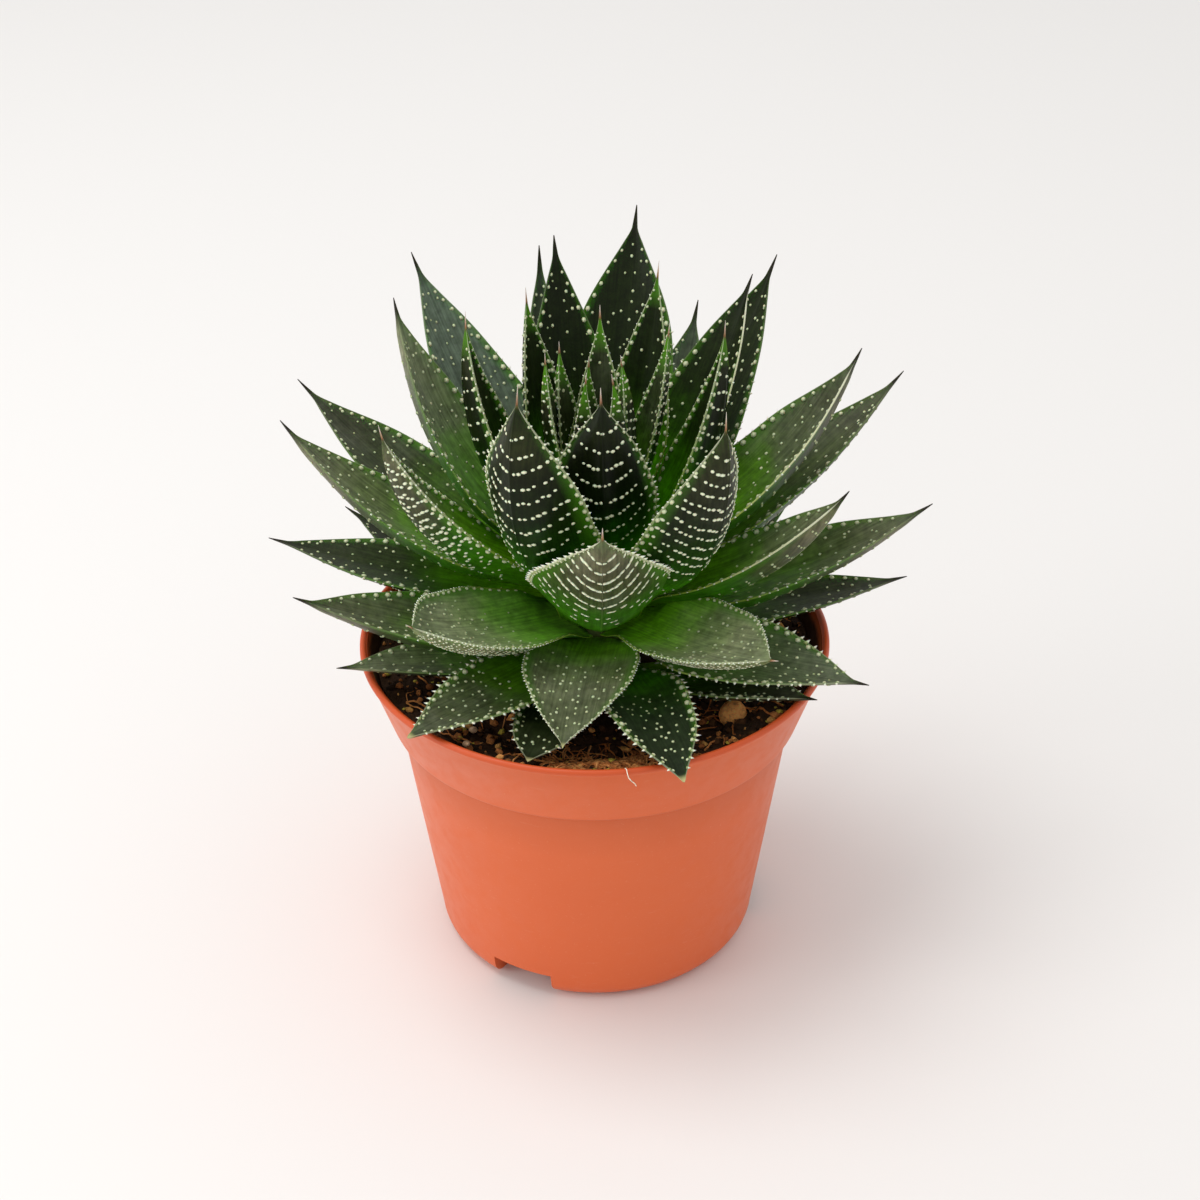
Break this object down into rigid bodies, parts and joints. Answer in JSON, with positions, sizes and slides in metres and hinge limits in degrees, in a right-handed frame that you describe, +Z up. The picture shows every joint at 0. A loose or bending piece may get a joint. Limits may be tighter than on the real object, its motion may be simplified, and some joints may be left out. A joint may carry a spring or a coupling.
{
  "type": "potted lace aloe",
  "caption": "Potted lace aloe: a rosette of thick toothed leaves with pale dots and bristle tips, in dark peat in a tapered orange nursery pot with a deep collar.",
  "frame": {"origin": "centre of the pot's foot, on the plane that the pot stands on", "axes": "+Z up the pot's axis, -Y towards the picture's camera, +X to its right"},
  "size_m": [0.1708, 0.1433, 0.1815],
  "materials": {
    "pot_plastic": "satin",
    "peat": "matte",
    "stem_flesh": "satin",
    "heart_flesh": "satin",
    "leaf_flesh": "satin"
  },
  "bodies": {
    "root": {"pot": "pot_plastic", "soil": "peat", "stem": "stem_flesh", "heart": "heart_flesh", "leaf_01": "leaf_flesh", "leaf_02": "leaf_flesh", "leaf_03": "leaf_flesh", "leaf_04": "leaf_flesh", "leaf_05": "leaf_flesh", "leaf_06": "leaf_flesh", "leaf_07": "leaf_flesh", "leaf_08": "leaf_flesh", "leaf_09": "leaf_flesh", "leaf_10": "leaf_flesh", "leaf_11": "leaf_flesh", "leaf_12": "leaf_flesh", "leaf_13": "leaf_flesh", "leaf_14": "leaf_flesh", "leaf_15": "leaf_flesh", "leaf_16": "leaf_flesh", "leaf_17": "leaf_flesh", "leaf_18": "leaf_flesh", "leaf_19": "leaf_flesh", "leaf_20": "leaf_flesh", "leaf_21": "leaf_flesh", "leaf_22": "leaf_flesh", "leaf_23": "leaf_flesh", "leaf_24": "leaf_flesh", "leaf_25": "leaf_flesh", "leaf_26": "leaf_flesh", "leaf_27": "leaf_flesh", "leaf_28": "leaf_flesh", "leaf_29": "leaf_flesh", "leaf_30": "leaf_flesh", "leaf_31": "leaf_flesh", "leaf_32": "leaf_flesh", "leaf_33": "leaf_flesh", "leaf_34": "leaf_flesh", "leaf_35": "leaf_flesh", "leaf_36": "leaf_flesh", "leaf_37": "leaf_flesh", "leaf_38": "leaf_flesh", "leaf_39": "leaf_flesh", "leaf_40": "leaf_flesh", "leaf_41": "leaf_flesh"}
  },
  "joints": []
}
